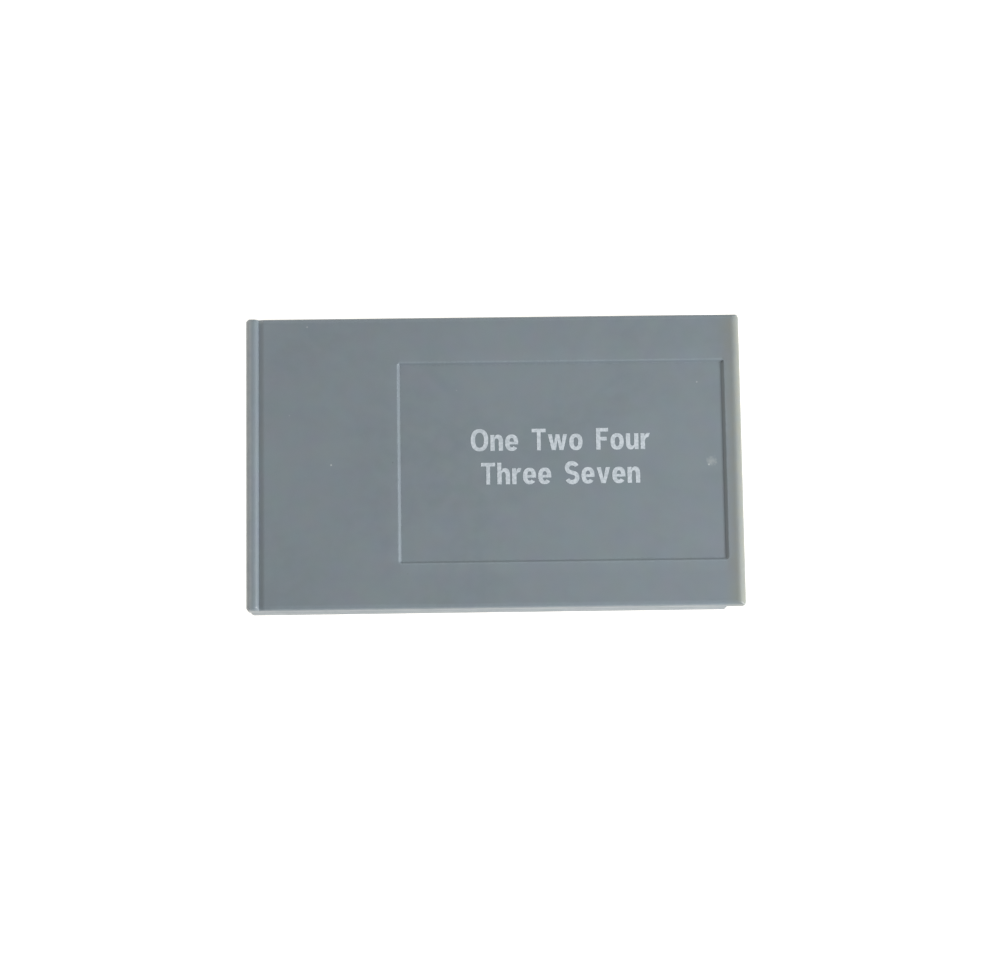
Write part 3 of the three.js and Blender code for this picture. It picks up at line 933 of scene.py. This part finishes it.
def board_laminate():
    """Green solder mask over copper tracks, on a glass-epoxy board."""
    m = Nodes("board_laminate")
    place = m.place()
    weave = m.node("ShaderNodeTexBrick", Vector=place, Scale=1400.0).outputs["Fac"]
    tracks = m.node("ShaderNodeTexBrick", {"offset": 0.5}, Vector=place, Scale=330.0, Mortar_Size=0.06)
    copper = m.math("SUBTRACT", 1.0, tracks.outputs["Fac"])
    mask = m.mix(m.noise(500, 3, place), rgb(*MASK_DARK), rgb(*MASK_LIGHT))
    mask = m.mix(m.math("MULTIPLY", copper, 0.5), mask, rgb(*MASK_OVER_COPPER))
    m.set("Base Color", m.mix(m.math("MULTIPLY", weave, 0.15), mask, rgb(*MASK_OVER_WEAVE)))
    m.set("Roughness", m.between(m.noise(900, 3, place), 0.3, 0.7, 0.25, 0.4))
    m.set("Coat Weight", 0.4)
    m.set("Coat Roughness", 0.15)
    m.set("Normal", m.bump(copper, 0.4, 0.03))
    return m.material


GOLD_BRIGHT = (0.78, 0.55, 0.2)
GOLD_WIPED = (0.62, 0.42, 0.13)


def contact_gold():
    """Gold plating with the fine lengthwise marks that contact springs leave."""
    m = Nodes("contact_gold")
    stretched = m.node("ShaderNodeMapping", Vector=m.place(), Scale=(0.05, 1.0, 1.0))
    wipe = m.noise(9000, 3, stretched.outputs["Vector"], 0.6)
    m.set("Base Color", m.mix(m.between(wipe, 0.3, 0.7), rgb(*GOLD_BRIGHT), rgb(*GOLD_WIPED)))
    m.set("Metallic", 1.0)
    m.set("Roughness", m.between(wipe, 0.3, 0.7, 0.2, 0.38))
    m.set("Normal", m.bump(wipe, 0.25, 0.006))
    return m.material


def plain_part(name, colour, roughness, grain_scale, metallic=0.0, variation=0.12):
    """A small part's finish: a colour that varies a little, with a fine grain."""
    m = Nodes(name)
    place = m.place()
    tone = m.noise(grain_scale / 4, 3, place)
    grain = m.noise(grain_scale, 4, place, 0.6)
    m.set("Base Color", m.mix(tone, tint(colour, 1 - variation), tint(colour, 1 + variation)))
    m.set("Metallic", metallic)
    m.set("Roughness", m.between(grain, 0.3, 0.7, roughness * 0.85, roughness * 1.15))
    m.set("Normal", m.bump(grain, 0.2, 0.01))
    return m.material


CAP_FROM = 0.3  # the share of a chip component's length where its end cap starts, from its middle
TIN = (0.55, 0.55, 0.56)


def end_capped(name, colour, length_mm, centre_x):
    """A chip component: its body's finish between two tinned end caps."""
    m = Nodes(name)
    place = m.place()
    split = m.node("ShaderNodeSeparateXYZ", Vector=place)
    off_middle = m.math("ABSOLUTE", m.math("SUBTRACT", split.outputs["X"], centre_x * MM))
    cap = m.math("GREATER_THAN", off_middle, length_mm * CAP_FROM * MM)
    grain = m.noise(5000, 3, place)
    body = m.mix(grain, tint(colour, 0.85), tint(colour, 1.15))
    m.set("Base Color", m.mix(cap, body, rgb(*TIN)))
    m.set("Metallic", cap)
    m.set("Roughness", m.between(grain, 0.3, 0.7, 0.32, 0.45))
    m.set("Normal", m.bump(grain, 0.2, 0.01))
    return m.material


def give(piece, material):
    piece.data.materials.clear()
    piece.data.materials.append(material)


# ---------------------------------------------------------------- the pieces

STEEL = (0.5, 0.5, 0.51)
CHIP_BLACK = (0.014, 0.014, 0.015)
TANTALUM_YELLOW = (0.5, 0.25, 0.035)
CERAMIC_TAN = (0.4, 0.29, 0.18)
RESISTOR_BLACK = (0.016, 0.017, 0.019)
CAPPED = (
    ("tantalum_capacitor", TANTALUM_YELLOW),
    ("bypass_capacitor_1", CERAMIC_TAN),
    ("bypass_capacitor_2", CERAMIC_TAN),
    *((f"pull_up_resistor_{i}", RESISTOR_BLACK) for i in range(1, 5)),
)

plastic = shell_plastic()
for case, node in ((front_shell(), "front_shell"), (back_shell(), "back_shell")):
    mark_edges(case)
    give(case, plastic)
    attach(case, "root")
    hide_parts(node)

ink = legend()
give(ink, legend_ink())
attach(ink, "root")

steel = plain_part("screw_steel", STEEL, 0.3, 5000, metallic=1.0, variation=0.06)
for node, (x, y) in zip(SCREW_NAMES, SCREW_PLACES):
    made = screw(f"{node}_fine", float(x), float(y))
    give(made, steel)
    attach(made, "root")
    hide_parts(node)

give(nodes["circuit_board"], board_laminate())
give(nodes["sound_memory_chip"], plain_part("chip_package", CHIP_BLACK, 0.55, 7000))
gold = contact_gold()
for name, node in nodes.items():
    if name.startswith("contact_finger"):
        give(node, gold)
for name, colour in CAPPED:
    low, high = box_mm(name)
    give(nodes[name], end_capped(name, colour, high[0] - low[0], (low[0] + high[0]) / 2))

# ---------------------------------------------------------------- floor, light and camera

FLOOR_SIZE = 4.0  # metres
FLOOR_WHITE = 0.5
FLOOR_GLOW = 0.92  # the floor's own light, which keeps it white all over
FLOOR_TINT = (1.0, 0.965, 0.9)
SKY = 0.3  # the strength of the soft light from all round
WHITE = (1.0, 1.0, 1.0)
WARM = (1.0, 0.95, 0.88)
# Lamps: name, size and place in metres, power in watts, colour.
LAMPS = (
    ("key", 0.1, (0.362, -0.118, 0.178), 2.3, WHITE),
    ("fill", 0.6, (-0.74, 0.7, 0.636), 6.8, WARM),
)
CAMERA = {
    "sensor": 36.0,
    "lens": 100.45,
    "place_mm": (-4.46, -57.98, 357.8),
    "turn_degrees": (8.912, -0.698, -0.834),
    "near_m": 0.01,
}


def floor():
    """A plain floor that glows a little."""
    mesh = bpy.data.meshes.new("floor")
    half = FLOOR_SIZE / 2
    corners = [(-half, -half, 0), (half, -half, 0), (half, half, 0), (-half, half, 0)]
    mesh.from_pydata(corners, [], [(0, 1, 2, 3)])
    made = bpy.data.objects.new("floor", mesh)
    made.location.z = -FLOOR_SINK * MM
    bpy.context.scene.collection.objects.link(made)
    m = Nodes("floor")
    m.set("Base Color", rgb(FLOOR_WHITE, FLOOR_WHITE, FLOOR_WHITE))
    m.set("Roughness", 0.9)
    m.set("Specular IOR Level", 0.1)
    m.set("Emission Color", rgb(*FLOOR_TINT))
    m.set("Emission Strength", FLOOR_GLOW)
    mesh.materials.append(m.material)


def softbox(name, size, place, power, colour):
    """A square area light that faces the card."""
    data = bpy.data.lights.new(name, "AREA")
    data.size = size
    data.energy = power
    data.color = colour
    made = bpy.data.objects.new(name, data)
    made.location = place
    made.rotation_euler = (-Vector(place)).to_track_quat("-Z", "Y").to_euler()
    bpy.context.scene.collection.objects.link(made)


def surroundings():
    """White all round to look at, and a softer light from it on the card."""
    world = bpy.data.worlds.new("surroundings")
    world.use_nodes = True
    tree = world.node_tree
    background = tree.nodes["Background"]
    seen = tree.nodes.new("ShaderNodeLightPath").outputs["Is Camera Ray"]
    strength = tree.nodes.new("ShaderNodeMapRange")
    strength.inputs["To Min"].default_value = SKY
    strength.inputs["To Max"].default_value = 1.0
    tree.links.new(seen, strength.inputs["Value"])
    tree.links.new(strength.outputs["Result"], background.inputs["Strength"])
    background.inputs["Color"].default_value = (1, 1, 1, 1)
    bpy.context.scene.world = world


def camera():
    data = bpy.data.cameras.new("camera")
    data.sensor_width = CAMERA["sensor"]
    data.lens = CAMERA["lens"]
    data.clip_start = CAMERA["near_m"]
    made = bpy.data.objects.new("camera", data)
    made.location = Vector(CAMERA["place_mm"]) * MM
    made.rotation_euler = Euler([math.radians(a) for a in CAMERA["turn_degrees"]], "XYZ")
    bpy.context.scene.collection.objects.link(made)
    bpy.context.scene.camera = made


floor()
surroundings()
for lamp in LAMPS:
    softbox(*lamp)
camera()
bpy.context.scene.view_settings.view_transform = "Standard"
